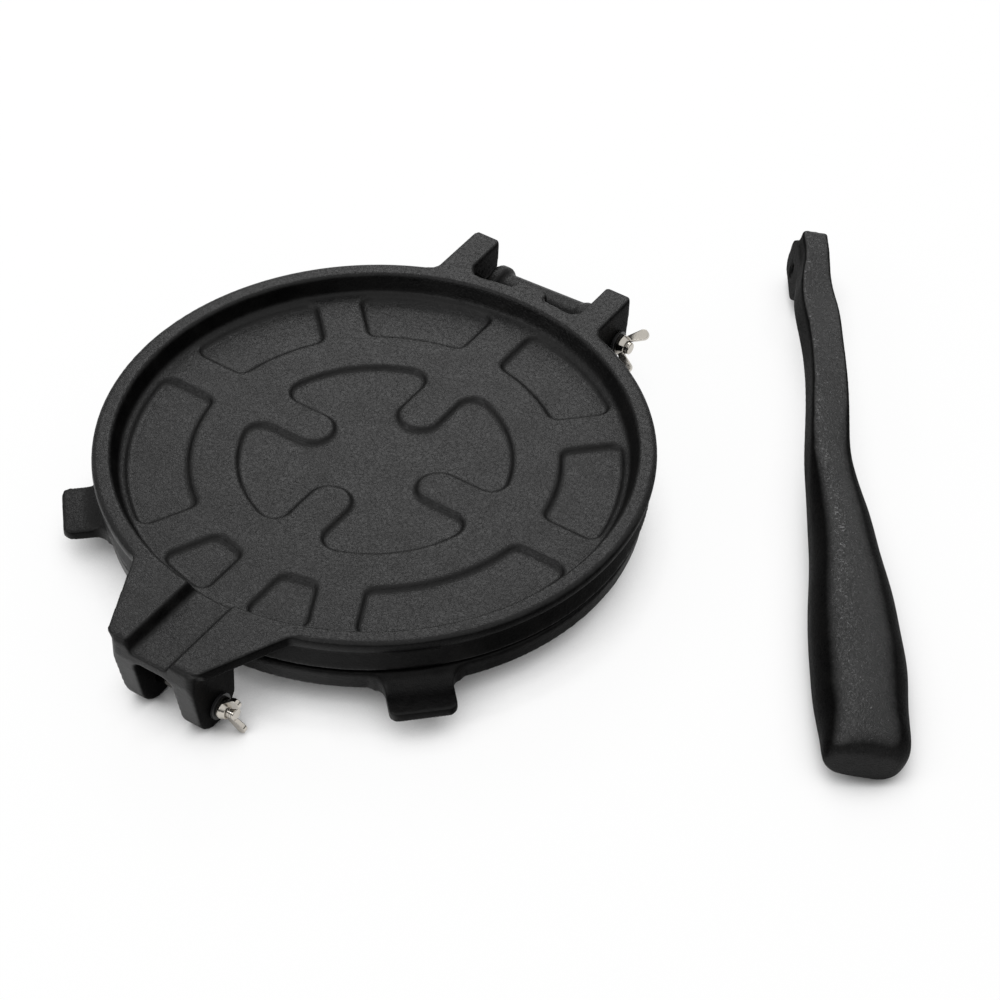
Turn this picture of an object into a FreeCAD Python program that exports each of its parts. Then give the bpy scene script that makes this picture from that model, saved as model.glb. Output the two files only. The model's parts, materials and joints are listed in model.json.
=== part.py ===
import FreeCAD, Part
import math
import os

# Tortilla press, as it lies in the photograph: back up, resting on the pad of the lower plate and
# on the tips of the two clevis ears, with the lever taken off and laid beside it.
# Origin: the middle of the lower plate's pad, on the surface the press stands on.
# +X runs along the hinge bolt, +Y from the clevis to the hinge, +Z up. Sizes are in millimetres.

# Driving dimensions
sizes = {
    # Upper plate
    "rim_radius": "109.2",
    "rim_height": "39",
    "bead_width": "7.6",
    "bead_height": "6.5",
    "bead_overhang": "3.7",
    "skirt_flare": "2.1",
    "skirt_height": "15.1",
    "edge_round": "0.8",
    "bead_round": "1.8",
    "bead_inner_round": "1.2",
    "dish_depth": "7.8",
    "wall_slope_width": "2.6",
    "wall_round": "2",
    "web_rise": "1.8",
    "ring_inner_share": "0.546",
    "ring_outer_share": "0.723",
    "spoke_half": "8.5",
    "finger_half": "8.1",
    "finger_tip_share": "0.223",
    "finger_corner": "6",
    "web_corner": "3.6",
    # Clevis block and ears
    "clevis_reach": "29.7",
    "clevis_front_half": "20.3",
    "clevis_root_half": "35.3",
    "clevis_side_run": "32.9",
    "clevis_plate": "5",
    "clevis_corner": "3",
    "clevis_neck": "5",
    "clevis_setback": "0.8",
    "clevis_arch_drop": "9",
    "clevis_arch_round": "4.5",
    "ear_taper": "0.85",
    "ear_corner": "3.4",
    "ear_back_round": "3.5",
    "ear_sink_share": "0.4",
    "rim_join_share": "0.3",
    "root_in_share": "0.826",
    "channel_top_half": "10.8",
    "channel_bottom_half": "8.1",
    "channel_depth": "4.9",
    "ear_gap": "17.3",
    "ear_thickness": "9.8",
    "ear_radius": "10.5",
    "ear_bolt_inset": "14.9",
    # Rear arms and tab
    "hinge_shift": "-3.2",
    "hinge_reach": "10.4",
    "hinge_drop": "16.6",
    "arm_gap": "52.4",
    "arm_thickness": "12",
    "arm_radius": "8.2",
    "arm_reach": "10.5",
    "arm_land": "2",
    "arm_corner": "2",
    "arm_root_share": "0.98",
    "lug_shift": "-2.25",
    "lug_outer_half": "23.7",
    "tab_shift": "-1.6",
    "channel_shift": "-1",
    "tab_root_half": "9.4",
    "tab_end_half": "7",
    "tab_reach": "4.1",
    "tab_thickness": "5.4",
    # Lower plate
    "plate_gap": "3.6",
    "plate_inset": "2.9",
    "plate_edge": "9",
    "plate_taper": "1.2",
    "plate_web": "5.2",
    "plate_rim": "9",
    "pad_radius": "27",
    "pad_rib_half": "4",
    "pad_round": "2",
    "pad_lean": "3",
    "pad_rib_height": "3",
    "finger_tab_reach": "15.7",
    "finger_tab_width": "25.5",
    "finger_tab_thickness": "4.3",
    "finger_tab_flare": "5",
    "finger_tab_lean": "0.6",
    "finger_sweep_share": "0.6",
    "finger_curve_out_share": "0.35",
    "finger_curve_up_share": "0.25",
    "finger_tab_corner": "3.6",
    "lug_radius": "10.6",
    "lug_thickness": "4.9",
    "barrel_radius": "8.5",
    "barrel_flare": "1.8",
    "barrel_swell": "1.2",
    # Fasteners
    "bolt_radius": "2.5",
    "bolt_fit": "0.08",
    "bolt_end_round": "0.5",
    "seat_gap": "0.3",
    "head_flats": "8",
    "head_height": "3.5",
    "hinge_bolt_out": "7",
    "clevis_bolt_out": "8.4",
    "washer_radius": "5.4",
    "washer_thickness": "1",
    "nut_radius": "4.3",
    "nut_top_radius": "3.5",
    "nut_height": "3.4",
    "nut_shoulder": "1.4",
    "wing_tip_height": "7.5",
    "wing_tip_out": "7.5",
    "wing_tip_radius": "2.2",
    "wing_thickness": "1.9",
    # Lever
    "lever_length": "287.4",
    "lever_bore_radius": "2.75",
    "lever_bore_inset": "5.5",
    "lever_bore_height": "8.2",
    "lever_lug_fore": "7.4",
    "lever_lug_foot": "0.7",
    "lever_lug_run": "17.5",
    "lever_lug_round": "6",
    "lever_lug_length": "28.5",
    "lever_lug_shift": "0.3",
    "lever_lug_thickness": "10.2",
    "lever_head_top": "26.9",
    "lever_bar_height": "13",
    "lever_grip_half": "19.1",
    "lever_x": "63.9",
    "lever_y": "219.6",
}

# Angles in degrees, counted from +X towards +Y
clevis_wing_angle = 99.0
hinge_wing_angle = 36.0
finger_tab_angles = (-45.8, -138.4)
lever_heading = -55.8
lever_roll = 11.0
web_draft = 35.0
lug_via = 20.0
spoke_slant = 64.0

doc = FreeCAD.newDocument("tortilla_press")
sheet = doc.addObject("Spreadsheet::Sheet", "sizes")
for row, (name, value) in enumerate(sizes.items(), start=1):
    sheet.set("A%d" % row, name)
    sheet.set("B%d" % row, value)
    sheet.setAlias("B%d" % row, name)
doc.recompute()


def size(name):
    return float(sheet.get(name))


# Places that follow from the sizes
rim_radius = size("rim_radius")
rim_top = size("rim_height")
skirt_bottom = rim_top - size("skirt_height")
hinge_z = rim_top - size("hinge_drop")
web_top = rim_top - size("dish_depth")
dish_floor = web_top - size("web_rise")
wall_foot = size("rim_radius") - size("bead_width") - size("wall_slope_width")
plate_top = skirt_bottom - size("plate_gap")
plate_bottom = plate_top - size("plate_edge")
plate_radius = rim_radius - size("plate_inset")
clevis_front = rim_radius + size("clevis_reach")
ear_outer = size("ear_gap") / 2 + size("ear_thickness")
ear_y = size("ear_bolt_inset") - clevis_front
hinge_y = rim_radius + size("hinge_reach")
arm_outer = size("arm_gap") / 2 + size("arm_thickness")
hole_radius = size("bolt_radius") + size("bolt_fit")
overrun = size("bead_height")
arc_share = 1 - math.sqrt(2) / 2


# Helpers for bodies and sketches
def make_body(name):
    body = doc.addObject("PartDesign::Body", name)
    body.Label = name
    return body


def origin_plane(body, role):
    for feature in body.Origin.OriginFeatures:
        if feature.Role == role:
            return feature


def make_sketch(body, name, role, offset=0.0, turn=None):
    sketch = body.newObject("Sketcher::SketchObject", name)
    sketch.AttachmentSupport = [(origin_plane(body, role), "")]
    sketch.MapMode = "FlatFace"
    rotation = turn if turn else FreeCAD.Rotation()
    sketch.AttachmentOffset = FreeCAD.Placement(FreeCAD.Vector(0, 0, offset), rotation)
    return sketch


def spot(x, y):
    return FreeCAD.Vector(x, y, 0)


def add_path(sketch, path):
    # A path is a closed run of points; a pair (via, end) makes an arc through via
    start = path[0]
    here = start
    for step in list(path[1:]) + [start]:
        if len(step) == 2 and isinstance(step[0], tuple):
            via, end = step
            sketch.addGeometry(Part.Arc(spot(*here), spot(*via), spot(*end)), False)
            here = end
        elif step != here:
            sketch.addGeometry(Part.LineSegment(spot(*here), spot(*step)), False)
            here = step


def add_circle(sketch, x, y, radius):
    sketch.addGeometry(Part.Circle(spot(x, y), FreeCAD.Vector(0, 0, 1), radius), False)


def pad(body, sketch, name, length, midplane=False, reverse=False):
    feature = body.newObject("PartDesign::Pad", name)
    feature.Profile = sketch
    feature.setExpression("Length", length)
    feature.Midplane = midplane
    feature.Reversed = reverse
    body.Tip = feature
    doc.recompute()
    return feature


def pocket(body, sketch, name, length, midplane=False, reverse=False):
    before = body.Shape.Volume
    feature = body.newObject("PartDesign::Pocket", name)
    feature.Profile = sketch
    feature.setExpression("Length", length)
    feature.Midplane = midplane
    feature.Reversed = reverse
    body.Tip = feature
    doc.recompute()
    if body.Shape.Volume >= before:
        raise RuntimeError(name + " removed nothing")
    return feature


def fillet(body, name, radius, wanted):
    # Rounds the edges that the test picks
    base = body.Tip
    picked = ["Edge%d" % (i + 1) for i, edge in enumerate(base.Shape.Edges) if wanted(edge)]
    feature = body.newObject("PartDesign::Fillet", name)
    feature.Base = (base, picked)
    feature.setExpression("Radius", radius)
    body.Tip = feature
    doc.recompute()
    return feature


def polar(radius, angle):
    return (radius * math.cos(math.radians(angle)), radius * math.sin(math.radians(angle)))


def turned(x, y, angle):
    # The point x outwards and y sideways, turned by an angle about the origin
    cosine = math.cos(math.radians(angle))
    sine = math.sin(math.radians(angle))
    return (x * cosine - y * sine, x * sine + y * cosine)


def tangent(px, py, cx, cy, radius, side):
    # Where a line from a point touches a circle; side is +1 or -1
    dx = px - cx
    dy = py - cy
    reach = math.hypot(dx, dy)
    lean = math.atan2(dy, dx) + side * math.acos(radius / reach)
    return (cx + radius * math.cos(lean), cy + radius * math.sin(lean))


def middle(ax, ay, bx, by):
    return ((ax + bx) / 2, (ay + by) / 2)


def rounded(points):
    # A closed path through corners (x, y, radius)
    path = []
    for i, (x, y, radius) in enumerate(points):
        if not radius:
            path.append((x, y))
            continue
        px, py, _ = points[i - 1]
        nx, ny, _ = points[(i + 1) % len(points)]
        before = math.hypot(px - x, py - y)
        after = math.hypot(nx - x, ny - y)
        ux = (px - x) / before
        uy = (py - y) / before
        vx = (nx - x) / after
        vy = (ny - y) / after
        half = math.acos(ux * vx + uy * vy) / 2
        run = radius / math.tan(half)
        reach = radius / math.sin(half) - radius
        mx = ux + vx
        my = uy + vy
        scale = reach / math.hypot(mx, my)
        path.append((x + ux * run, y + uy * run))
        path.append(((x + mx * scale, y + my * scale), (x + vx * run, y + vy * run)))
    return path


def flare(px, py, dx, dy, side, rim, radius):
    # The fillet from a straight side running in to a round rim: side point, via, rim point
    long = math.hypot(dx, dy)
    dx = dx / long
    dy = dy / long
    bx = px - dy * side * radius
    by = py + dx * side * radius
    along = bx * dx + by * dy
    run = -along - math.sqrt(along ** 2 - bx ** 2 - by ** 2 + (rim + radius) ** 2)
    cx = bx + dx * run
    cy = by + dy * run
    side_point = (px + dx * run, py + dy * run)
    rim_point = (cx * rim / (rim + radius), cy * rim / (rim + radius))
    mx, my = middle(*side_point, *rim_point)
    out = radius / math.hypot(mx - cx, my - cy)
    return side_point, (cx + (mx - cx) * out, cy + (my - cy) * out), rim_point


def add_face(sketch, face):
    # The lines and arcs of a flat face at height zero, put into a sketch
    for edge in face.Edges:
        if hasattr(edge.Curve, "Radius"):
            ends = [edge.valueAt(edge.FirstParameter), edge.valueAt(edge.LastParameter)]
            via = edge.valueAt((edge.FirstParameter + edge.LastParameter) / 2)
            sketch.addGeometry(Part.Arc(ends[0], via, ends[1]), False)
        else:
            ends = [vertex.Point for vertex in edge.Vertexes]
            sketch.addGeometry(Part.LineSegment(ends[0], ends[1]), False)


def flat_face(path):
    edges = []
    here = path[0]
    for step in list(path[1:]) + [path[0]]:
        if isinstance(step[0], tuple):
            edges.append(Part.Arc(spot(*here), spot(*step[0]), spot(*step[1])).toShape())
            here = step[1]
        elif step != here:
            edges.append(Part.LineSegment(spot(*here), spot(*step)).toShape())
            here = step
    return Part.Face(Part.Wire(edges))


def disc(radius):
    return Part.Face(Part.Wire(Part.Circle(spot(0, 0), FreeCAD.Vector(0, 0, 1), radius).toShape()))


def revolve(body, sketch, name, cut=False):
    kind = "PartDesign::Groove" if cut else "PartDesign::Revolution"
    feature = body.newObject(kind, name)
    feature.Profile = sketch
    feature.ReferenceAxis = (sketch, ["V_Axis"])
    feature.Angle = 360
    body.Tip = feature
    doc.recompute()
    return feature


# Upper plate: the disc with its skirt and the outside of the bead
upper = make_body("upper_plate")
bead_foot = rim_top - size("bead_height")
face_z = skirt_bottom - size("edge_round")
outline = make_sketch(upper, "disc_profile", "XZ_Plane")
edge = size("edge_round")
bead_round = size("bead_round")
overhang = size("bead_overhang")
neck = rim_radius - overhang
skirt_edge = neck + size("skirt_flare")
add_path(outline, [
    (0, face_z),
    (skirt_edge - edge, face_z),
    ((skirt_edge - edge * arc_share, face_z + edge * arc_share), (skirt_edge, skirt_bottom)),
    (neck, bead_foot),
    ((rim_radius - overhang * arc_share, bead_foot + overhang * arc_share),
     (rim_radius, bead_foot + overhang)),
    (rim_radius, rim_top - bead_round),
    ((rim_radius - bead_round * arc_share, rim_top - bead_round * arc_share),
     (rim_radius - bead_round, rim_top)),
    (0, rim_top),
])
revolve(upper, outline, "disc")

# The clevis top, flush with the rim and flared into it
rim_join = rim_radius - bead_round * size("rim_join_share")
front_y = -clevis_front + size("clevis_setback")
root_in = rim_radius * size("root_in_share")
side_run = (size("clevis_root_half") - size("clevis_front_half"), size("clevis_side_run"))
right_side, right_via, right_rim = flare(
    size("clevis_front_half"), front_y, *side_run, -1, rim_join, size("clevis_neck"))
corner = rounded([
    (*right_side, 0),
    (size("clevis_front_half"), front_y, size("clevis_corner")),
    (-size("clevis_front_half"), front_y, size("clevis_corner")),
    (-right_side[0], right_side[1], 0),
])
clevis_top = make_sketch(upper, "clevis_outline", "XY_Plane", rim_top)
add_path(clevis_top, [right_rim, (right_via, right_side)] + corner[1:] + [
    ((-right_via[0], right_via[1]), (-right_rim[0], right_rim[1])),
    (-right_rim[0], -root_in),
    (right_rim[0], -root_in),
])
pad(upper, clevis_top, "clevis_top", "sizes.clevis_plate", reverse=True)

# The block with the two ears
ears = make_sketch(upper, "ear_front", "XZ_Plane", clevis_front)
ear_half = size("ear_gap") / 2
ear_top = rim_top - size("clevis_plate") * size("ear_sink_share")
arch = rim_top - size("clevis_arch_drop")
add_path(ears, rounded([
    (-ear_outer - size("ear_taper"), ear_top, 0),
    (-ear_outer + size("ear_taper"), 0, 0),
    (-ear_half, 0, 0),
    (-ear_half, arch, size("clevis_arch_round")),
    (ear_half, arch, size("clevis_arch_round")),
    (ear_half, 0, 0),
    (ear_outer - size("ear_taper"), 0, 0),
    (ear_outer + size("ear_taper"), ear_top, 0),
]))
pad(upper, ears, "ear_block", "sizes.ear_bolt_inset + sizes.ear_radius + sizes.ear_back_round", reverse=True)
ear_side = make_sketch(upper, "ear_side", "YZ_Plane")
ear_r = size("ear_radius")
ear_back = size("ear_back_round")
ear_corner = size("ear_corner")
touch = tangent(-clevis_front, arch, ear_y, ear_r, ear_r, 1)
low = math.atan2(touch[1] - ear_r, touch[0] - ear_y)
dip = (low + 2 * math.pi) / 2 if low > 0 else low / 2
add_path(ear_side, [
    (-clevis_front - overrun, arch),
    (-clevis_front, arch),
    touch,
    ((ear_y + ear_r * math.cos(dip), ear_r + ear_r * math.sin(dip)), (ear_y + ear_r, ear_r)),
    (ear_y + ear_r, arch - ear_back),
    ((ear_y + ear_r + ear_back * arc_share, arch - ear_back * arc_share), (ear_y + ear_r + ear_back, arch)),
    (ear_y + ear_r + ear_back + edge, arch),
    (ear_y + ear_r + ear_back + edge, -overrun),
    (-clevis_front - overrun, -overrun),
])
pocket(upper, ear_side, "ear_ends", "4 * sizes.rim_height", midplane=True)
ear_corners = make_sketch(upper, "ear_corners", "XY_Plane", ear_top)
corner_x = ear_outer + size("ear_taper")
for side in (-1, 1):
    add_path(ear_corners, [
        (side * corner_x, ear_corner - clevis_front),
        ((side * (corner_x - ear_corner * arc_share), ear_corner * arc_share - clevis_front),
         (side * (corner_x - ear_corner), -clevis_front)),
        (side * (corner_x - ear_corner), -clevis_front - overrun),
        (side * (corner_x + overrun), -clevis_front - overrun),
        (side * (corner_x + overrun), ear_corner - clevis_front),
    ])
pocket(upper, ear_corners, "ear_corner_rounds", "sizes.rim_height")

# The bed under the channel, from the block back to the disc
bed = make_sketch(upper, "bed_outline", "XY_Plane", arch)
bed_half = ear_outer - size("ear_taper")
add_path(bed, [
    (-bed_half, ear_y),
    (bed_half, ear_y),
    (bed_half, -root_in),
    (-bed_half, -root_in),
])
pad(upper, bed, "channel_bed", "sizes.clevis_arch_drop - sizes.clevis_plate * sizes.ear_sink_share")

# The two hinge arms behind, flush with the rim and flared into it
shift = size("hinge_shift")
arm_end = hinge_y + size("arm_reach")
arm_plan = make_sketch(upper, "arm_plan", "XY_Plane", rim_top)
for side in (-1, 1):
    inner = shift + side * size("arm_gap") / 2
    outer = shift + side * (size("arm_gap") / 2 + size("arm_thickness"))
    in_side, in_via, in_rim = flare(inner, arm_end, 0, -1, -side, rim_join, size("clevis_neck"))
    out_side, out_via, out_rim = flare(outer, arm_end, 0, -1, side, rim_join, size("clevis_neck"))
    tip = rounded([(*in_side, 0), (inner, arm_end, size("arm_corner")),
                   (outer, arm_end, size("arm_corner")), (*out_side, 0)])
    add_path(arm_plan, [in_rim, (in_via, in_side)] + tip[1:] + [
        (out_via, out_rim), (out_rim[0], root_in * size("arm_root_share")),
        (in_rim[0], root_in * size("arm_root_share"))])
pad(upper, arm_plan, "arms", "sizes.hinge_drop + sizes.arm_radius", reverse=True)
arm_side = make_sketch(upper, "arm_side", "YZ_Plane")
arm_r = size("arm_radius")
arm_land = rim_top - size("arm_land")
arm_touch = tangent(arm_end, arm_land, hinge_y, hinge_z, arm_r, -1)
add_path(arm_side, [
    (0, face_z),
    (hinge_y - math.sqrt(arm_r ** 2 - (face_z - hinge_z) ** 2), face_z),
    ((hinge_y, hinge_z - arm_r), arm_touch),
    (arm_end, arm_land),
    (arm_end + overrun, arm_land),
    (arm_end + overrun, -overrun),
    (0, -overrun),
])
pocket(upper, arm_side, "arm_ends", "4 * sizes.rim_height", midplane=True)

# The short tab between the arms
tab = make_sketch(upper, "tab_outline", "XY_Plane", rim_top)
tab_x = size("tab_shift")
tab_y = rim_radius + size("tab_reach")
add_path(tab, rounded([
    (tab_x - size("tab_root_half"), root_in, 0),
    (tab_x - size("tab_end_half"), tab_y, size("arm_corner")),
    (tab_x + size("tab_end_half"), tab_y, size("arm_corner")),
    (tab_x + size("tab_root_half"), root_in, 0),
]))
pad(upper, tab, "tab", "sizes.tab_thickness", reverse=True)

# The dish: a groove that leaves the bead's inner side and its sloping wall
dish = make_sketch(upper, "dish_profile", "XZ_Plane")
bead_inner = rim_radius - size("bead_width")
inner_round = size("bead_inner_round")
dish_foot = rounded([
    (0, web_top, 0),
    (wall_foot, web_top, size("wall_round")),
    (bead_inner, rim_top - inner_round, 0),
])
add_path(dish, [(0, rim_top + overrun)] + dish_foot + [
    ((bead_inner + inner_round * arc_share, rim_top - inner_round * arc_share),
     (bead_inner + inner_round, rim_top)),
    (bead_inner + inner_round, rim_top + overrun),
])
revolve(upper, dish, "dish", cut=True)

# The channel that runs through the clevis top and the bead into the dish
channel = make_sketch(upper, "channel_profile", "XZ_Plane", root_in)
channel_x = size("channel_shift")
channel_lean = (size("channel_top_half") - size("channel_bottom_half")) / size("channel_depth")
add_path(channel, [
    (channel_x - size("channel_bottom_half"), rim_top - size("channel_depth")),
    (channel_x + size("channel_bottom_half"), rim_top - size("channel_depth")),
    (channel_x + size("channel_top_half") + channel_lean * overrun, rim_top + overrun),
    (channel_x - size("channel_top_half") - channel_lean * overrun, rim_top + overrun),
])
pocket(upper, channel, "channel", "sizes.rim_radius", reverse=True)

# The raised web: eight recesses between the ring, the spokes and the wall, and a clover inside
spoke_angles = (90, 45, 0, -spoke_slant, -90, spoke_slant - 180, -180, -225, -270)
wall_disc = wall_foot - size("wall_round")
near = wall_foot * size("ring_inner_share")
far = rim_radius * 2
spoke = size("spoke_half")
dish_disc = disc(wall_disc)
lean = size("web_rise") * math.tan(math.radians(web_draft))
web = make_sketch(upper, "web_outline", "XY_Plane", dish_floor)
for high, low in zip(spoke_angles, spoke_angles[1:]):
    wedge = flat_face([turned(near, -spoke, high), turned(far, -spoke, high), polar(far, (high + low) / 2),
                       turned(far, spoke, low), turned(near, spoke, low)])
    region = wedge.common(dish_disc).cut(disc(wall_foot * size("ring_outer_share"))).Faces[0]
    rounder = size("web_corner")
    add_face(web, region.makeOffset2D(-rounder - lean).makeOffset2D(rounder))
clover = disc(near)
for angle in (0, 90, 180, 270):
    half = size("finger_half")
    tip = wall_foot * size("finger_tip_share")
    finger = flat_face([turned(far, -half, angle), turned(tip + half, -half, angle),
                        (turned(tip, 0, angle), turned(tip + half, half, angle)), turned(far, half, angle)])
    clover = clover.cut(finger).Faces[0]
rounder = size("finger_corner")
add_face(web, clover.makeOffset2D(-rounder - lean).makeOffset2D(rounder))
recesses = pocket(upper, web, "recesses", "sizes.web_rise", reverse=True)
recesses.TaperAngle = web_draft
doc.recompute()

# Bolt holes through the arms and the ears
bores = make_sketch(upper, "bores", "YZ_Plane")
add_circle(bores, hinge_y, hinge_z, hole_radius)
add_circle(bores, ear_y, ear_r, hole_radius)
pocket(upper, bores, "bolt_holes", "4 * sizes.rim_height", midplane=True)


# Lower plate: the flat disc, its rim and the pad it stands on
lower = make_body("lower_plate")
plate_face = plate_top + size("edge_round") / 2
plate_foot = plate_radius - size("plate_taper")
under = plate_face - size("plate_web")
profile = make_sketch(lower, "plate_profile", "XZ_Plane")
add_path(profile, [
    (0, 0),
    (size("pad_radius") - size("pad_round"), 0),
    ((size("pad_radius") - size("pad_round") * arc_share, size("pad_round") * arc_share),
     (size("pad_radius"), size("pad_round"))),
    (size("pad_radius") + size("pad_lean"), under),
    (plate_foot - size("plate_rim") - size("plate_taper"), under),
    (plate_foot - size("plate_rim"), plate_bottom),
    (plate_foot - edge, plate_bottom),
    ((plate_foot - edge * arc_share, plate_bottom + edge * arc_share), (plate_foot, plate_bottom + edge)),
    (plate_radius, plate_face - edge),
    ((plate_radius - edge * arc_share, plate_face - edge * arc_share), (plate_radius - edge, plate_face)),
    (0, plate_face),
])
revolve(lower, profile, "plate")

# The two finger tabs: flared flat tongues whose tops sweep down from the plate's edge
tongues = make_sketch(lower, "tab_outlines", "XY_Plane", plate_bottom)
tab_half = size("finger_tab_width") / 2
tab_end = plate_radius + size("finger_tab_reach")
plate_root = plate_foot - size("plate_rim")
for angle in finger_tab_angles:
    a_side, a_via, a_rim = flare(tab_end, -tab_half, -1, 0, 1, plate_radius, size("finger_tab_flare"))
    b_side, b_via, b_rim = flare(tab_end, tab_half, -1, 0, -1, plate_radius, size("finger_tab_flare"))
    tip = rounded([(*a_side, 0), (tab_end, -tab_half, size("finger_tab_corner")),
                   (tab_end, tab_half, size("finger_tab_corner")), (*b_side, 0)])
    path = [a_rim, (a_via, a_side)] + tip[1:] + [
        (b_via, b_rim), (plate_root, b_rim[1]), (plate_root, a_rim[1])]
    placed = []
    for step in path:
        if isinstance(step[0], tuple):
            placed.append((turned(*step[0], angle), turned(*step[1], angle)))
        else:
            placed.append(turned(*step, angle))
    add_path(tongues, placed)
pad(lower, tongues, "finger_tabs", "sizes.plate_edge - sizes.edge_round")
sweep = make_sketch(lower, "tab_sweep", "XZ_Plane")
tab_top = plate_bottom + size("finger_tab_thickness")
sweep_end = plate_radius + size("finger_tab_reach") * size("finger_sweep_share")
add_path(sweep, [
    (plate_radius, plate_top + overrun),
    (plate_radius, plate_top - size("edge_round")),
    ((plate_radius + (sweep_end - plate_radius) * size("finger_curve_out_share"),
      tab_top + (plate_top - tab_top) * size("finger_curve_up_share")), (sweep_end, tab_top)),
    (tab_end + overrun, tab_top - size("finger_tab_lean")),
    (tab_end + overrun, plate_top + overrun),
])
revolve(lower, sweep, "tab_tops", cut=True)

# Two round hinge lugs behind, with the flat bar that ties them
lug_x = size("lug_shift")
lug_outer = size("lug_outer_half")
lug_r = size("lug_radius")
lug_root = tangent(plate_root, plate_bottom, hinge_y, hinge_z, lug_r, 1)
lug_top = polar(lug_r, lug_via)
for side, name in ((-1, "left"), (1, "right")):
    start = lug_x + side * lug_outer
    lug = make_sketch(lower, name + "_lug_side", "YZ_Plane", start)
    add_path(lug, [
        (plate_root, plate_bottom),
        lug_root,
        ((hinge_y + lug_top[0], hinge_z + lug_top[1]), (hinge_y - lug_r, hinge_z)),
        (hinge_y - lug_r, plate_top - size("edge_round")),
        (plate_root, plate_top - size("edge_round")),
    ])
    pad(lower, lug, name + "_lug", "sizes.lug_thickness", reverse=side > 0)
barrel = make_sketch(lower, "barrel_profile", "XY_Plane", hinge_z)
flare_r = size("barrel_flare")
left_y = hinge_y + size("barrel_radius")
right_y = left_y + size("barrel_swell")
lug_in = lug_outer - size("lug_thickness")
add_path(barrel, [
    (lug_x - lug_outer, hinge_y),
    (lug_x - lug_outer, left_y + flare_r),
    (lug_x - lug_in, left_y + flare_r),
    ((lug_x - lug_in + flare_r * arc_share, left_y + flare_r * arc_share),
     (lug_x - lug_in + flare_r, left_y)),
    (lug_x + lug_in, right_y),
    (lug_x + lug_outer, right_y),
    (lug_x + lug_outer, hinge_y),
])
turned_barrel = lower.newObject("PartDesign::Revolution", "barrel")
turned_barrel.Profile = barrel
barrel_line = Part.LineSegment(spot(lug_x - lug_outer, hinge_y), spot(lug_x + lug_outer, hinge_y))
barrel.addGeometry(barrel_line, True)
turned_barrel.ReferenceAxis = (barrel, ["Axis0"])
turned_barrel.Angle = 360
lower.Tip = turned_barrel
doc.recompute()

# Four ribs under the plate, from the pad to the rim
ribs = make_sketch(lower, "rib_outline", "XY_Plane", under)
rib_half = size("pad_rib_half")
add_path(ribs, [(0, -rib_half), (plate_root, -rib_half), (plate_root, rib_half), (0, rib_half)])
pad(lower, ribs, "rib", "sizes.pad_rib_height", reverse=True)
pattern = lower.newObject("PartDesign::PolarPattern", "ribs")
pattern.Originals = [lower.Tip]
pattern.Axis = (ribs, ["N_Axis"])
pattern.Angle = 360
pattern.Occurrences = 4
lower.Tip = pattern
doc.recompute()
lug_bores = make_sketch(lower, "lug_bores", "YZ_Plane")
add_circle(lug_bores, hinge_y, hinge_z, hole_radius)
pocket(lower, lug_bores, "lug_holes", "2 * sizes.arm_gap", midplane=True)


# Fasteners: each lies along its own X axis and is placed on its bolt line
def make_bolt(name, left, right, out):
    # A hexagon-head bolt; the thread end stands out beyond the wing nut
    bolt = make_body(name)
    shank = make_sketch(bolt, name + "_shank_circle", "YZ_Plane")
    add_circle(shank, 0, 0, size("bolt_radius"))
    pad(bolt, shank, name + "_shank", "%g + sizes.%s" % (right - left + seat, out))
    head = make_sketch(bolt, name + "_head_hexagon", "YZ_Plane")
    reach = size("head_flats") / math.sqrt(3)
    add_path(head, [polar(reach, 60 * k) for k in range(6)])
    pad(bolt, head, name + "_head", "sizes.head_height", reverse=True)
    tip = bolt.Shape.BoundBox.XMax
    fillet(bolt, name + "_end", "sizes.bolt_end_round", lambda edge: edge.CenterOfMass.x > tip - seat)
    return bolt


def make_washer(name):
    washer = make_body(name)
    ring = make_sketch(washer, name + "_ring", "YZ_Plane")
    add_circle(ring, 0, 0, size("washer_radius"))
    add_circle(ring, 0, 0, hole_radius)
    pad(washer, ring, name + "_plate", "sizes.washer_thickness")
    return washer


def make_wing_nut(name):
    # A round hub tapering outwards, two wings and the threaded hole
    nut = make_body(name)
    hub = make_sketch(nut, name + "_hub_profile", "XY_Plane")
    top = size("nut_top_radius")
    height = size("nut_height")
    add_path(hub, [
        (0, 0),
        (0, size("nut_radius")),
        (size("nut_shoulder"), size("nut_radius")),
        (height, top),
        (height, 0),
    ])
    turn = nut.newObject("PartDesign::Revolution", name + "_hub")
    turn.Profile = hub
    turn.ReferenceAxis = (hub, ["H_Axis"])
    turn.Angle = 360
    nut.Tip = turn
    doc.recompute()
    wings = make_sketch(nut, name + "_wing_outline", "XY_Plane")
    out = size("wing_tip_out")
    rise = size("wing_tip_height")
    tip = size("wing_tip_radius")
    root = size("bolt_radius")
    lean = math.atan2(rise - root, out - height / 2)
    for side in (-1, 1):
        inner = tangent(0, root, out, rise, tip, -1)
        outer = tangent(height, root, out, rise, tip, 1)
        far_x = out + tip * math.cos(lean)
        far_y = rise + tip * math.sin(lean)
        add_path(wings, [
            (0, side * root),
            (inner[0], side * inner[1]),
            ((far_x, side * far_y), (outer[0], side * outer[1])),
            (height, side * root),
        ])
    pad(nut, wings, name + "_wings", "sizes.wing_thickness", midplane=True)
    thread = make_sketch(nut, name + "_thread_circle", "YZ_Plane")
    add_circle(thread, 0, 0, hole_radius)
    pocket(nut, thread, name + "_thread", "4 * sizes.nut_height", midplane=True)
    return nut


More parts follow.
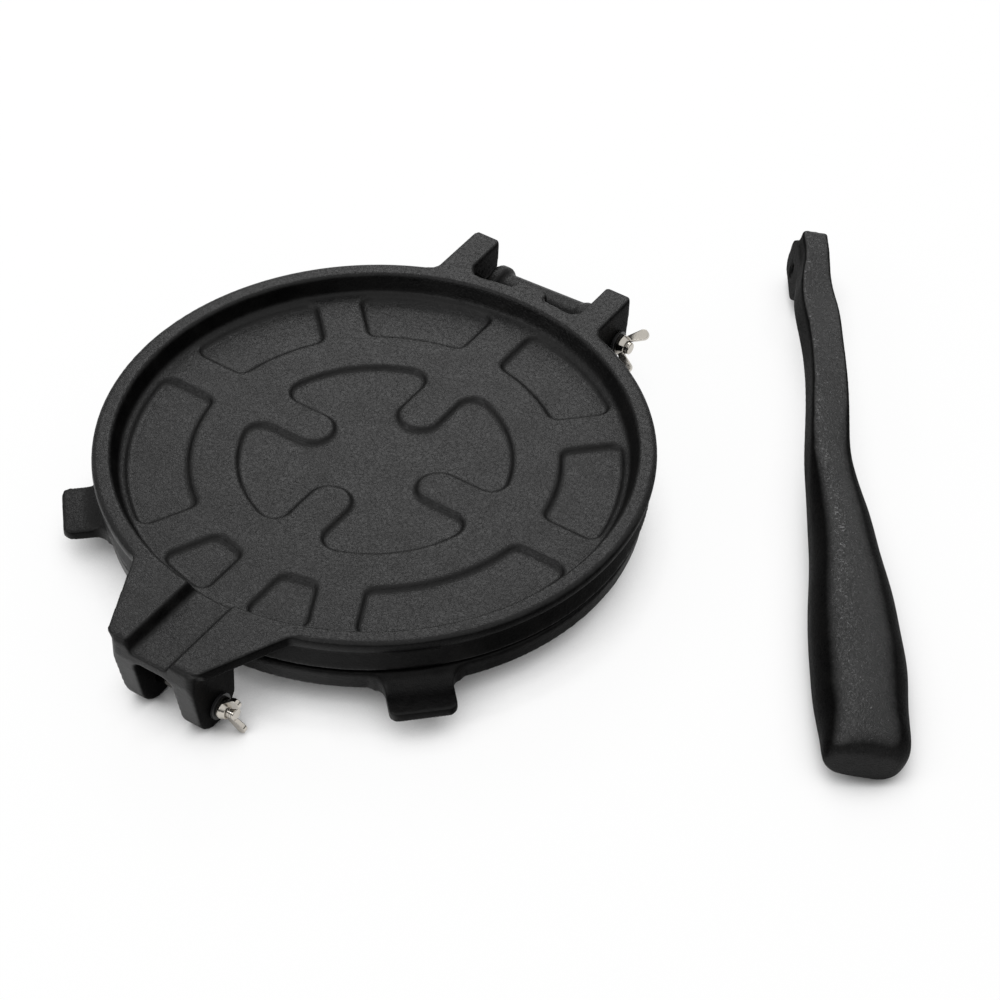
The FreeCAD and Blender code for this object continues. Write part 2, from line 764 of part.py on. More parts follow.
seat = size("seat_gap")
hinge_left = shift - arm_outer
hinge_right = shift + arm_outer
fastenings = (
    ("hinge", hinge_left, hinge_right, hinge_y, hinge_z, "hinge_bolt_out", hinge_wing_angle),
    ("clevis", -ear_outer, ear_outer, ear_y, ear_r, "clevis_bolt_out", clevis_wing_angle),
)
for name, left, right, y, z, out, angle in fastenings:
    bolt = make_bolt(name + "_bolt", left, right, out)
    bolt.Placement.Base = FreeCAD.Vector(left - seat, y, z)
    washer = make_washer(name + "_washer")
    washer.Placement.Base = FreeCAD.Vector(right + seat, y, z)
    nut = make_wing_nut(name + "_wing_nut")
    along = FreeCAD.Rotation(FreeCAD.Vector(1, 0, 0), angle)
    seated = FreeCAD.Vector(right + seat * 2 + size("washer_thickness"), y, z)
    nut.Placement = FreeCAD.Placement(seated, along)

# Lever: a bar with a lug below its head and a swollen grip, drawn along its own X axis.
# Stations, all as shares: the place along the lever's length; the sideways offset and the half
# widths at the top and bottom of the grip's half width; the underside and the top of the head's
# height; and the rounding of the top and bottom corners of the grip's half width.
station_shares = (
    (0, 0.042, 0.288, 0.298, 0.468, 0.989, 0.079, 0.063),
    (0.042, 0.037, 0.288, 0.298, 0.461, 0.996, 0.079, 0.063),
    (0.077, 0.005, 0.309, 0.325, 0.454, 0.967, 0.079, 0.063),
    (0.115, -0.026, 0.361, 0.382, 0.439, 0.937, 0.079, 0.063),
    (0.157, 0, 0.401, 0.419, 0.454, 0.944, 0.079, 0.063),
    (0.226, 0.031, 0.382, 0.403, 0.483, 0.974, 0.079, 0.063),
    (0.314, 0.021, 0.387, 0.408, 0.491, 0.974, 0.084, 0.063),
    (0.401, -0.047, 0.411, 0.432, 0.439, 0.929, 0.094, 0.079),
    (0.463, -0.079, 0.435, 0.466, 0.379, 0.896, 0.157, 0.126),
    (0.512, -0.01, 0.55, 0.508, 0.245, 0.888, 0.346, 0.241),
    (0.571, 0.089, 0.665, 0.602, 0.141, 0.9, 0.471, 0.314),
    (0.631, 0.136, 0.743, 0.67, 0.082, 0.914, 0.545, 0.366),
    (0.705, 0.17, 0.887, 0.793, 0.03, 0.911, 0.586, 0.419),
    (0.777, 0.175, 0.966, 0.866, 0, 0.903, 0.607, 0.44),
    (0.836, 0.183, 1, 0.895, 0, 0.892, 0.607, 0.44),
    (0.899, 0.154, 0.963, 0.864, 0.011, 0.862, 0.586, 0.429),
    (0.955, 0.157, 0.927, 0.827, 0.037, 0.803, 0.503, 0.44),
    (0.984, 0.115, 0.869, 0.796, 0.067, 0.714, 0.398, 0.419),
    (1, 0.058, 0.743, 0.733, 0.1, 0.602, 0.272, 0.408),
)
lever = make_body("lever")
sections = []
for number, station in enumerate(station_shares):
    across, half_top, half_low = [share * size("lever_grip_half") for share in station[1:4]]
    foot, top = [share * size("lever_head_top") for share in station[4:6]]
    round_top, round_low = [share * size("lever_grip_half") for share in station[6:8]]
    section = make_sketch(lever, "section_%02d" % number, "YZ_Plane", station[0] * size("lever_length"))
    add_path(section, rounded([
        (across - half_low, foot, round_low),
        (across + half_low, foot, round_low),
        (across + half_top, top, round_top),
        (across - half_top, top, round_top),
    ]))
    sections.append(section)
bar = lever.newObject("PartDesign::AdditiveLoft", "bar_and_grip")
bar.Profile = sections[0]
bar.Sections = sections[1:]
lever.Tip = bar
doc.recompute()
lug_side = make_sketch(lever, "lug_side", "XZ_Plane", size("lever_lug_shift"))
bore_x = size("lever_bore_inset")
bore_z = size("lever_bore_height")
lug_foot = size("lever_lug_foot")
lug_round = size("lever_lug_round")
bar_middle = size("lever_head_top") - size("lever_bar_height") / 2
add_path(lug_side, rounded([
    (0, bar_middle, 0),
    (-size("lever_lug_fore"), bar_middle - lug_round, size("lever_lug_round") / 2),
    (-size("lever_lug_fore") + size("lever_lug_shift"), lug_foot, lug_round),
    (size("lever_lug_run"), lug_foot, lug_round),
    (size("lever_lug_length"), bar_middle - lug_round, 0),
    (size("lever_lug_length"), bar_middle, 0),
]))
pad(lever, lug_side, "lug", "sizes.lever_lug_thickness", midplane=True)
lever_bore = make_sketch(lever, "lug_bore_circle", "XZ_Plane")
add_circle(lever_bore, bore_x, bore_z, size("lever_bore_radius"))
pocket(lever, lever_bore, "lug_bore", "4 * sizes.lever_lug_thickness", midplane=True)

# The lever lies on the floor beside the press, rolled over a little
heading = FreeCAD.Rotation(FreeCAD.Vector(0, 0, 1), lever_heading)
rolled = heading.multiply(FreeCAD.Rotation(FreeCAD.Vector(1, 0, 0), -lever_roll))
lever.Placement = FreeCAD.Placement(FreeCAD.Vector(size("lever_x"), size("lever_y"), 0), rolled)
doc.recompute()
lever.Placement.Base.z = -lever.Shape.BoundBox.ZMin

# Save every sub-part
os.makedirs("parts", exist_ok=True)
doc.recompute()
for thing in doc.Objects:
    if set(thing.State) & {"Invalid", "Error"}:
        raise RuntimeError(thing.Name + " did not build")
for body in doc.findObjects("PartDesign::Body"):
    if body.Shape.isNull() or not body.Shape.isValid():
        raise RuntimeError(body.Label + " has no valid shape")
    body.Shape.exportStep("parts/%s.step" % body.Label)
    print(body.Label, len(body.Shape.Solids), round(body.Shape.Volume), body.Shape.BoundBox)
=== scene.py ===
import json
import math

import bpy
import numpy as np
from mathutils import Matrix, Vector

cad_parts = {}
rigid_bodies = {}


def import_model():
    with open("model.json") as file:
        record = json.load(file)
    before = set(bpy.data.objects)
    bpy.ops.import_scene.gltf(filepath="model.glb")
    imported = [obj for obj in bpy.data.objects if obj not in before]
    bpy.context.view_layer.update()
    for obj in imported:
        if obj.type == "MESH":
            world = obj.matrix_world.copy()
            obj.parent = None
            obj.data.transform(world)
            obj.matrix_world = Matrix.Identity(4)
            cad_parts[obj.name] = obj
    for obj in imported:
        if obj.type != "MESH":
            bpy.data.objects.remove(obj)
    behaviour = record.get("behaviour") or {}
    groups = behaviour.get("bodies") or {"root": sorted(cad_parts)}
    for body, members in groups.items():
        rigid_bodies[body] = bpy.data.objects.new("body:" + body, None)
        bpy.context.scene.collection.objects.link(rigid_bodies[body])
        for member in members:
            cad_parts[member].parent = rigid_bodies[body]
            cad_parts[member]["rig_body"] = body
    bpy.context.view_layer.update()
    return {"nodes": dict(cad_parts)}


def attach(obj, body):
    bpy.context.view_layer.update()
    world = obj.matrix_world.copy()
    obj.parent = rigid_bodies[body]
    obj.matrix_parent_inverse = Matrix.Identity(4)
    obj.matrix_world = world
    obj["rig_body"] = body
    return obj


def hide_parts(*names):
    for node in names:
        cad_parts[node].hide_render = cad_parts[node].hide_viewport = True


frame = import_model()
nodes = frame["nodes"]
scene = bpy.context.scene
print("stage: frame loaded,", len(nodes), "nodes")


# A shader value with ordinary arithmetic, so that an expression adds its Math nodes.
class Value:
    def __init__(self, graph, socket):
        self.graph = graph
        self.socket = socket

    def maths(self, operation, *others):
        return self.graph.maths(operation, self, *others)

    def __add__(self, other):
        return self.maths("ADD", other)

    def __sub__(self, other):
        return self.maths("SUBTRACT", other)

    def __mul__(self, other):
        return self.maths("MULTIPLY", other)

    def __radd__(self, other):
        return self.graph.maths("ADD", other, self)

    def __rsub__(self, other):
        return self.graph.maths("SUBTRACT", other, self)

    def __rmul__(self, other):
        return self.graph.maths("MULTIPLY", other, self)

    def clamped(self):
        return self.maths("MINIMUM", 1.0).maths("MAXIMUM", 0.0)


def opaque(colour):
    return (*colour, 1.0)


white = (1.0, 1.0, 1.0)
noiseMiddle = 0.5  # what a noise texture varies around
occlusionSamples = 8


class Graph:
    def __init__(self, owner):
        owner.use_nodes = True
        self.owner = owner
        self.tree = owner.node_tree
        self.tree.nodes.clear()

    # Any node: its type, its settings, and its inputs by name or number.
    def node(self, kind, settings=None, inputs=None):
        made = self.tree.nodes.new(kind)
        for key, setting in (settings or {}).items():
            setattr(made, key, setting)
        for key, given in (inputs or {}).items():
            if isinstance(given, Value):
                self.tree.links.new(given.socket, made.inputs[key])
            else:
                made.inputs[key].default_value = given
        return made

    def value(self, made, output=0):
        return Value(self, made.outputs[output])

    def maths(self, operation, *terms):
        made = self.node("ShaderNodeMath", {"operation": operation}, dict(enumerate(terms)))
        return self.value(made)

    def coordinate(self, kind):
        return self.value(self.node("ShaderNodeTexCoord"), kind)

    def part(self, vector, axis):
        return self.value(self.node("ShaderNodeSeparateXYZ", {}, {0: vector}), axis)

    def noise(self, place, size, detail, distortion=0.0):
        return self.value(self.node("ShaderNodeTexNoise", {}, {
            "Vector": place, "Scale": 1.0 / size, "Detail": detail,
            "Roughness": 0.5, "Distortion": distortion}), "Fac")

    # Takes the span of a value to another span, and holds it at both ends.
    def remap(self, value, span, low, high, curve="LINEAR"):
        made = self.node("ShaderNodeMapRange", {"clamp": True, "interpolation_type": curve},
                         {0: value, 1: span[0], 2: span[1], 3: low, 4: high})
        return self.value(made)

    # 1 where nothing stands within `reach`, less in corners.
    def openness(self, reach):
        made = self.node("ShaderNodeAmbientOcclusion", {"samples": occlusionSamples},
                         {"Distance": reach})
        return self.value(made, "AO")

    def mixColour(self, factor, a, b):
        made = self.node("ShaderNodeMix", {"data_type": "RGBA"}, {
            0: factor,
            6: a if isinstance(a, Value) else opaque(a),
            7: b if isinstance(b, Value) else opaque(b)})
        return self.value(made, 2)

    def bump(self, height, distance, normal=None):
        inputs = {"Height": height, "Distance": distance, "Strength": 1.0}
        if normal:
            inputs["Normal"] = normal
        return self.value(self.node("ShaderNodeBump", {}, inputs))

    def surface(self, inputs):
        return self.value(self.node("ShaderNodeBsdfPrincipled", {}, inputs))

    def mixShader(self, factor, a, b):
        return self.value(self.node("ShaderNodeMixShader", {}, {0: factor, 1: a, 2: b}))

    def finish(self, shader, kind="ShaderNodeOutputMaterial"):
        self.node(kind, {}, {"Surface": shader})
        return self.owner


# Cast iron with a baked-on black finish, as two copies that differ only in sheen. The glossy copy
# on faces that look up, and a share of it on faces that look along a given way in the plan, is
# painted light; the dull copy on the other sides is painted shade. Sizes and depths are in
# metres.
castIron = {
    "colour": (0.0019, 0.0019, 0.0020),
    "worn": (0.0060, 0.0058, 0.0056),
    "wornByPatch": 0.6,
    "wornByGrain": 0.3,
    "wornByBroad": 0.3,
    "wornSpan": (0.45, 0.85),
    "roughness": 0.4,
    "patchRoughness": 0.16,
    "fineRoughness": 0.12,
    "topSheen": 0.26,
    "sideSheen": 0.015,
    "turn": (0.3, 0.8),  # from side to top, by how far the face looks up
    "fray": 0.3,
    "litFacing": (-0.35, -0.9),
    "litFacingSpan": (0.15, 0.9),
    "litFacingShare": 1.0,
    # Painted shade in corners: within this reach the sheen falls to the given share.
    "shadeReach": 0.014,
    "shadeSpan": (0.45, 0.85),
    "shadedSheen": 0.15,
    "broadSize": 0.03,
    "patchSize": 0.011,
    "poreSize": 0.0026,
    "poreSpan": (0.2, 0.3),
    "poreHeight": -0.6,
    "grainSize": 0.0015,
    "fineSize": 0.42,  # as a share of the grain's
    "ridgeSlope": 7.0,
    "ridgeHeight": 0.6,
    "fineHeight": 0.35,
    "grainDepth": 0.0001,
    "waveDepth": 0.0009,
}
# The lower plate: the same iron with less sheen on its tops, painted shade for a plate that sits
# under and behind the upper one.
shadedPressIron = dict(castIron, topSheen=0.2)
# The lever's glossy copy leans to the faces that look along its own given way in the plan, as
# painted light.
leverIron = dict(castIron, roughness=0.39, grainSize=0.0014, grainDepth=0.0004, topSheen=0.72,
                 sideSheen=0.006, turn=(0.74, 1.0), fray=0.06, litFacing=(0.55, -0.83),
                 litFacingShare=0.35)


def ironMaterial(name, look):
    graph = Graph(bpy.data.materials.new(name))
    place = graph.coordinate("Object")
    broad = graph.noise(place, look["broadSize"], detail=3.0)
    patch = graph.noise(place, look["patchSize"], detail=4.0, distortion=0.4)
    worms = graph.noise(place, look["grainSize"], detail=1.5, distortion=1.3)
    ridge = 1.0 - (worms - noiseMiddle).maths("ABSOLUTE") * look["ridgeSlope"]
    fine = graph.noise(place, look["grainSize"] * look["fineSize"], detail=2.0)
    grain = ridge.clamped() * look["ridgeHeight"] + fine * look["fineHeight"]
    rubbed = (patch * look["wornByPatch"] + grain * look["wornByGrain"]
              + broad * look["wornByBroad"])
    worn = graph.remap(rubbed, look["wornSpan"], 0.0, 1.0)
    pits = graph.noise(place, look["poreSize"], detail=1.0, distortion=0.3)
    pores = graph.remap(pits, look["poreSpan"], look["poreHeight"], 0.0)
    wave = graph.bump(broad, look["waveDepth"])
    shared = {
        "Base Color": graph.mixColour(worn, look["colour"], look["worn"]),
        "Roughness": (look["roughness"] + (patch - noiseMiddle) * look["patchRoughness"]
                      + (fine - noiseMiddle) * look["fineRoughness"]),
        "Normal": graph.bump(grain + pores, look["grainDepth"], wave),
    }
    top = graph.surface(dict(shared, **{"Specular IOR Level": look["topSheen"]}))
    side = graph.surface(dict(shared, **{"Specular IOR Level": look["sideSheen"]}))
    # Painted light and shade: the glossy copy by how far a face looks up and along the given way
    # in the plan, the dull copy elsewhere.
    way = graph.coordinate("Normal")
    upward = graph.part(way, "Z") + (patch - noiseMiddle) * look["fray"]
    litFacingX, litFacingY = look["litFacing"]
    sideways = graph.part(way, "X") * litFacingX + graph.part(way, "Y") * litFacingY
    facing = graph.remap(upward, look["turn"], 0.0, 1.0, "SMOOTHSTEP")
    litFacing = graph.remap(sideways, look["litFacingSpan"], 0.0, look["litFacingShare"])
    # Painted shade: less of the glossy copy where other faces stand within reach.
    free = graph.openness(look["shadeReach"])
    clear = graph.remap(free, look["shadeSpan"], look["shadedSheen"], 1.0)
    return graph.finish(graph.mixShader(facing.maths("MAXIMUM", litFacing) * clear, side, top))


# Bright plate on the nuts and the bolts' ends, darkened in its corners as painted shade. A bolt
# is bright past `cover` along X, where its nut starts, and painted dark as shade up to there.
nickelPlate = {
    "colour": (0.6, 0.565, 0.51),
    "dullShare": 0.8,
    "roughness": 0.14,
    "roughnessSpread": 0.2,
    "cornerShade": (0.07, 0.065, 0.06),
    "shadeReach": 0.0012,
    "shadeSpan": (0.35, 0.8),
    "cloudSize": 0.002,
    "depth": 0.00004,
}
boltShank = dict(nickelPlate, shadeColour=(0.05, 0.048, 0.045), shadeEdge=0.0004)
washerSteel = {
    "colour": (0.02, 0.02, 0.021),
    "roughness": 0.38,
    "roughnessSpread": 0.2,
    "cloudSize": 0.0015,
    "depth": 0.00005,
}


def nickelMaterial(name, look, cover=None):
    graph = Graph(bpy.data.materials.new(name))
    place = graph.coordinate("Object")
    cloud = graph.noise(place, look["cloudSize"], detail=3.0)
    dull = tuple(share * look["dullShare"] for share in look["colour"])
    # Painted shade: the plate darkens to the corner colour where other faces stand close.
    clear = graph.remap(graph.openness(look["shadeReach"]), look["shadeSpan"], 0.0, 1.0)
    tint = graph.mixColour(clear, look["cornerShade"], graph.mixColour(cloud, look["colour"], dull))
    # Painted shade: the shank is dark up to where the nut starts.
    if cover is not None:
        unshaded = graph.remap(graph.part(place, "X"), (cover - look["shadeEdge"], cover), 0.0, 1.0)
        tint = graph.mixColour(unshaded, look["shadeColour"], tint)
    return graph.finish(graph.surface({
        "Base Color": tint,
        "Roughness": look["roughness"] + (cloud - noiseMiddle) * look["roughnessSpread"],
        "Metallic": 1.0,
        "Normal": graph.bump(cloud, look["depth"])}))


def washerMaterial(name, look):
    graph = Graph(bpy.data.materials.new(name))
    cloud = graph.noise(graph.coordinate("Object"), look["cloudSize"], detail=3.0)
    return graph.finish(graph.surface({
        "Base Color": opaque(look["colour"]),
        "Roughness": look["roughness"] + (cloud - noiseMiddle) * look["roughnessSpread"],
        "Normal": graph.bump(cloud, look["depth"])}))


def pieceBox(name):
    piece = nodes[name]
    points = np.array([piece.matrix_world @ vertex.co for vertex in piece.data.vertices])
    return points.min(axis=0), points.max(axis=0)


# Both bolts lie along X, and their places in metres come from the loaded pieces: where the nut
# starts, where the bolt ends, and the middle of its shank in Y and Z.
bolts = {
    "hinge": {"node": "hinge_bolt", "nut": "hinge_wing_nut"},
    "clevis": {"node": "clevis_bolt", "nut": "clevis_wing_nut"},
}
for bolt in bolts.values():
    low, high = pieceBox(bolt["node"])
    bolt["cover"] = float(pieceBox(bolt["nut"])[0][0])
    bolt["end"] = float(high[0])
    bolt["middle"] = [float(place) for place in (low[1:] + high[1:]) / 2]

materials = {
    "castIron": ironMaterial("castIron", castIron),
    "shadedPressIron": ironMaterial("shadedPressIron", shadedPressIron),
    "leverIron": ironMaterial("leverIron", leverIron),
    "nickel": nickelMaterial("nickel", nickelPlate),
    "hingeBolt": nickelMaterial("hingeBolt", boltShank, bolts["hinge"]["cover"]),
    "clevisBolt": nickelMaterial("clevisBolt", boltShank, bolts["clevis"]["cover"]),
    "washer": washerMaterial("washer", washerSteel),
}
nodeMaterial = {
    "upper_plate": "castIron", "lower_plate": "shadedPressIron", "lever": "leverIron",
    "hinge_bolt": "hingeBolt", "hinge_washer": "washer", "hinge_wing_nut": "nickel",
    "clevis_bolt": "clevisBolt", "clevis_washer": "washer", "clevis_wing_nut": "nickel",
}
for name, key in nodeMaterial.items():
    for slot in nodes[name].material_slots:
        slot.material = materials[key]
    nodes[name].data.shade_smooth()
print("stage: materials made")


# Castings and nuts get the soft corners that a mould gives them: the solid is remeshed finely,
# evened out without shrinking, and thinned where it is flat. Lengths are in metres.
castings = {
    "upper_plate": {"voxel": 0.00075, "blunt": 2, "triangles": 190000},
    "lower_plate": {"voxel": 0.0009, "blunt": 1, "triangles": 150000},
    "lever": {
        "voxel": 0.0007, "blunt": 10, "triangles": 120000,
        "head": (0.0639, 0.2196),  # the lever's line on the table
        "foot": (0.2254, -0.0179),
        "dome": 150,  # steps that round the grip's top
        "domeFrom": 0.1,
        "domeOver": 0.07,
        "domeFoot": 0.006,
        "crown": 0.0028,
        "crownEnd": 0.02,
        "station": 0.004,
    },
    "hinge_wing_nut": {"voxel": 0.00016, "blunt": 1, "triangles": 20000},
    "clevis_wing_nut": {"voxel": 0.00016, "blunt": 1, "triangles": 20000},
}
softening = {"weld": 0.000002, "shrink": 0.5, "grow": -0.52, "rounds": 8}


def evaluated(made):
    graph = bpy.context.evaluated_depsgraph_get()
    mesh = bpy.data.meshes.new_from_object(made.evaluated_get(graph))
    made.modifiers.clear()
    made.data = mesh
    return mesh


# Past the dome's start only heights are evened, so that the outline stays, and then the back is
# crowned: lowered towards both sides of the grip, by its half width at stations along the lever.
def domeGrip(places, here, there, degree, look):
    line = np.array(look["foot"]) - look["head"]
    line /= np.linalg.norm(line)
    along = (places[:, :2] - look["head"]) @ line
    across = (places[:, :2] - look["head"]) @ np.array((-line[1], line[0]))
    share = np.clip((along - look["domeFrom"]) / look["domeOver"], 0.0, 1.0)
    share *= np.clip((places[:, 2] - look["domeFoot"]) / look["domeFoot"], 0.0, 1.0)
    for turn in range(look["dome"]):
        level = np.bincount(here, places[there, 2], len(places)) / degree
        places[:, 2] += softening["shrink"] * share * (level - places[:, 2])
    station = look["station"]
    stations = np.arange(look["domeFrom"], along.max() - station, station)
    near = [across[np.abs(along - place) < station] for place in stations]
    middle = np.interp(along, stations, [(side.min() + side.max()) / 2 for side in near])
    half = np.interp(along, stations, [(side.max() - side.min()) / 2 for side in near])
    share *= np.clip((along.max() - along) / look["crownEnd"], 0.0, 1.0)
    places[:, 2] -= look["crown"] * share * np.minimum(np.abs(across - middle) / half, 1.0) ** 2


# A few plain steps blunt the edges, then shrinking and growing ones even the rest at one volume.
def evenOut(mesh, look, low, high):
    count = len(mesh.vertices)
    places = np.empty(count * 3)
    mesh.vertices.foreach_get("co", places)
    places = places.reshape(-1, 3)
    pairs = np.empty(len(mesh.edges) * 2, dtype=np.int32)
    mesh.edges.foreach_get("vertices", pairs)
    ends = pairs.reshape(-1, 2)
    here = np.concatenate((ends[:, 0], ends[:, 1]))
    there = np.concatenate((ends[:, 1], ends[:, 0]))
    degree = np.bincount(here, minlength=count)
    shrink, grow = softening["shrink"], softening["grow"]
    for step in (shrink,) * look["blunt"] + (shrink, grow) * softening["rounds"]:
        sums = [np.bincount(here, places[there, axis], count) for axis in range(3)]
        places = places + step * (np.stack(sums, axis=1) / degree[:, None] - places)
    if "dome" in look:
        domeGrip(places, here, there, degree, look)
    places = np.clip(places, low, high)
    mesh.vertices.foreach_set("co", places.ravel())
    mesh.update()


def softCasting(name, look):
    low, high = pieceBox(name)
    made = bpy.data.objects.new(name + "_cast", nodes[name].data.copy())
    scene.collection.objects.link(made)
    weld = made.modifiers.new("weld", "WELD")
    weld.merge_threshold = softening["weld"]
    remesh = made.modifiers.new("remesh", "REMESH")
    remesh.mode = "VOXEL"
    remesh.voxel_size = look["voxel"]
    mesh = evaluated(made)
    evenOut(mesh, look, low, high)
    thin = made.modifiers.new("thin", "DECIMATE")
    # A remeshed face is two triangles.
    thin.ratio = min(1.0, look["triangles"] / (2.0 * len(mesh.polygons)))
    mesh = evaluated(made)
    mesh.name = name + "_cast"
    mesh.materials.clear()
    mesh.materials.append(materials[nodeMaterial[name]])
    mesh.shade_smooth()
    mesh.calc_loop_triangles()
    return made


for name, look in castings.items():
    made = softCasting(name, look)
    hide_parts(name)
    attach(made, nodes[name]["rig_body"])
    print("stage: cast", name, len(made.data.loop_triangles), "triangles")


# The thread on the bolts' ends: one ridge wound along the shank, from the nut to just short of
# the end.
thread = {"radius": 0.0025, "pitch": 0.0008, "ridge": 0.00026, "corners": 3, "sunk": 0.00013,
          "back": 0.0004, "steps": 40}


def threadTree(name, corners):
    tree = bpy.data.node_groups.new(name, "GeometryNodeTree")
    tree.interface.new_socket("Geometry", in_out="OUTPUT", socket_type="NodeSocketGeometry")
    for label, kind in (("Radius", "NodeSocketFloat"), ("Length", "NodeSocketFloat"),
                        ("Turns", "NodeSocketFloat"), ("Ridge", "NodeSocketFloat"),
                        ("Steps", "NodeSocketInt"), ("Start", "NodeSocketVector"),
                        ("Material", "NodeSocketMaterial")):
        tree.interface.new_socket(label, in_out="INPUT", socket_type=kind)
    given = tree.nodes.new("NodeGroupInput")
    spiral = tree.nodes.new("GeometryNodeCurveSpiral")
    profile = tree.nodes.new("GeometryNodeCurvePrimitiveCircle")
    profile.inputs["Resolution"].default_value = corners
    sweep = tree.nodes.new("GeometryNodeCurveToMesh")
    sweep.inputs["Fill Caps"].default_value = True
    lay = tree.nodes.new("GeometryNodeTransform")
    lay.inputs["Rotation"].default_value = (0.0, math.pi / 2, 0.0)
    real = tree.nodes.new("GeometryNodeRealizeInstances")
    paint = tree.nodes.new("GeometryNodeSetMaterial")
    out = tree.nodes.new("NodeGroupOutput")
    for source, output, target, socket in (
            (given, "Steps", spiral, "Resolution"), (given, "Turns", spiral, "Rotations"),
            (given, "Radius", spiral, "Start Radius"), (given, "Radius", spiral, "End Radius"),
            (given, "Length", spiral, "Height"), (given, "Ridge", profile, "Radius"),
            (spiral, 0, sweep, "Curve"), (profile, 0, sweep, "Profile Curve"),
            (sweep, 0, lay, "Geometry"), (given, "Start", lay, "Translation"),
            (lay, 0, real, 0), (real, 0, paint, "Geometry"),
            (given, "Material", paint, "Material"), (paint, 0, out, 0)):
        tree.links.new(source.outputs[output], target.inputs[socket])
    return tree


def windThread(name, bolt, look, tree):
    length = bolt["end"] - bolt["cover"] - look["back"]
    made = bpy.data.objects.new(name + "_thread", bpy.data.meshes.new(name + "_thread"))
    scene.collection.objects.link(made)
    wound = made.modifiers.new("thread", "NODES")
    wound.node_group = tree
    sizes = {
        "Radius": look["radius"] - look["sunk"],
        "Length": length,
        "Turns": length / look["pitch"],
        "Ridge": look["ridge"],
        "Steps": look["steps"],
        "Start": (bolt["cover"], *bolt["middle"]),
        "Material": materials["nickel"],
    }
    for item in tree.interface.items_tree:
        if item.in_out == "INPUT":
            wound[item.identifier] = sizes[item.name]
    mesh = evaluated(made)
    mesh.name = name + "_thread"
    mesh.shade_smooth()
    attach(made, nodes[bolt["node"]]["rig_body"])
    print("stage: thread", name, len(mesh.polygons), "faces")


threadNodes = threadTree("threadRidge", thread["corners"])
for name, bolt in bolts.items():
    windThread(name, bolt, thread, threadNodes)

# Where the photograph was taken from: angles in degrees round the press and above the table, the
# lens and sensor in millimetres, and lengths in metres.
camera = {
    "azimuth": 33.5,
    "elevation": 43.385,
    "roll": 0.974,
    "lens": 114.12,
    "sensor": 36.0,
    "target": (0.0, 0.0, 0.039),
    "right": -0.04834,
    "up": 0.02268,
    "distance": 1.22468,
}


def addCamera(look):
    azimuth = math.radians(look["azimuth"])
    elevation = math.radians(look["elevation"])
    roll = math.radians(look["roll"])
    back = Vector((math.sin(azimuth) * math.cos(elevation),
                   -math.cos(azimuth) * math.cos(elevation), math.sin(elevation)))
    level = Vector((math.cos(azimuth), math.sin(azimuth), 0.0))
    right = level * math.cos(roll) + back.cross(level) * math.sin(roll)
    up = back.cross(right)
    data = bpy.data.cameras.new("camera")
    data.lens = look["lens"]
    data.sensor_width = look["sensor"]
    made = bpy.data.objects.new("camera", data)
    place = (Vector(look["target"]) - right * look["right"] - up * look["up"]
             + back * look["distance"])
    turned = Matrix((right, up, back)).transposed().to_4x4()
    made.matrix_world = Matrix.Translation(place) @ turned
    scene.collection.objects.link(made)
    scene.camera = made


lamps = [
    {"name": "rearLamp", "place": (-1.05, 1.7, 1.15), "size": 0.9, "watts": 5},
    {"name": "dishLamp", "place": (-0.47, 0.68, 0.86), "size": 0.46, "watts": 2.4},
    {"name": "frontLamp", "place": (-0.72, -1.24, 1.09), "size": 0.9, "watts": 7},
]


# Every lamp looks at the middle of the press.
def addLamp(look):
    data = bpy.data.lights.new(look["name"], "AREA")
    data.energy = look["watts"]
    data.size = look["size"]
    made = bpy.data.objects.new(look["name"], data)
    place = Vector(look["place"])
    made.location = place
    made.rotation_mode = "QUATERNION"
    made.rotation_quaternion = place.to_track_quat("Z", "Y")
    scene.collection.objects.link(made)


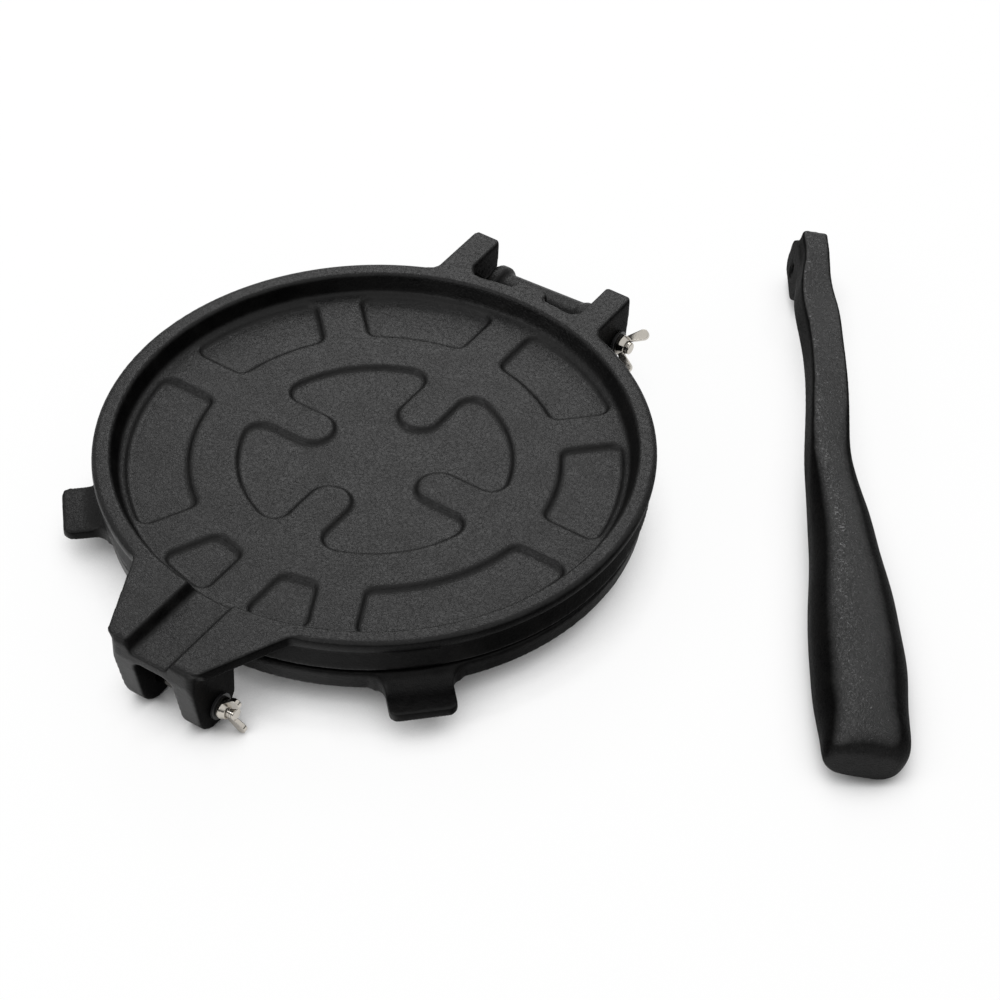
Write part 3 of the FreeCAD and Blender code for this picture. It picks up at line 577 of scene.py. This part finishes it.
# The paper sweep: white to the eye and in reflections, with the shadow close under the iron kept
# and deepened by painted shadow, as the paper darkens and its glow fades near the iron.
floor = {
    "half": 6.0,
    "colour": (0.93, 0.93, 0.93),
    "contactShadow": (0.5, 0.5, 0.5),
    "contactShadowSpan": (0.05, 0.6),
    "lift": 0.93,
    "liftSpan": (0.4, 0.82),
    "closeness": 0.026,
}


def floorMaterial(name, look):
    graph = Graph(bpy.data.materials.new(name))
    path = graph.node("ShaderNodeLightPath")
    seen = (graph.value(path, "Is Camera Ray") + graph.value(path, "Is Glossy Ray")
            + graph.value(path, "Is Transmission Ray")).clamped()
    close = graph.openness(look["closeness"])
    # Painted shadow: close to the iron the white glow fades and the paper's colour darkens.
    lift = seen * graph.remap(close, look["liftSpan"], 0.0, look["lift"])
    unshaded = graph.remap(close, look["contactShadowSpan"], 0.0, 1.0)
    shade = graph.mixColour(unshaded, look["contactShadow"], look["colour"])
    paper = graph.value(graph.node("ShaderNodeBsdfDiffuse", {}, {"Color": shade}))
    lit = graph.value(graph.node("ShaderNodeEmission", {}, {
        "Color": opaque(white), "Strength": 1.0}))
    return graph.finish(graph.mixShader(lift, paper, lit))


def addFloor(look):
    half = look["half"]
    corners = [(-half, -half, 0), (half, -half, 0), (half, half, 0), (-half, half, 0)]
    data = bpy.data.meshes.new("floor")
    data.from_pydata(corners, [], [(0, 1, 2, 3)])
    data.materials.append(floorMaterial("floor", look))
    made = bpy.data.objects.new("floor", data)
    scene.collection.objects.link(made)


# A broad soft light overhead that falls away towards the horizon, over a span of heights.
sky = {"strength": 0.9, "horizon": 0.12, "span": (0.12, 0.64)}


def addSky(look):
    graph = Graph(bpy.data.worlds.new("sky"))
    height = graph.part(graph.coordinate("Generated"), "Z")
    above = graph.remap(height, look["span"], 0.0, 1.0, "SMOOTHSTEP")
    dim = graph.value(graph.node("ShaderNodeBackground", {}, {"Strength": look["horizon"]}))
    bright = graph.value(graph.node("ShaderNodeBackground", {}, {
        "Color": opaque(white), "Strength": look["strength"]}))
    scene.world = graph.finish(graph.mixShader(above, dim, bright), "ShaderNodeOutputWorld")


addCamera(camera)
for lamp in lamps:
    addLamp(lamp)
addFloor(floor)
addSky(sky)
scene.view_settings.view_transform = "Standard"
print("stage: camera, floor and light set")
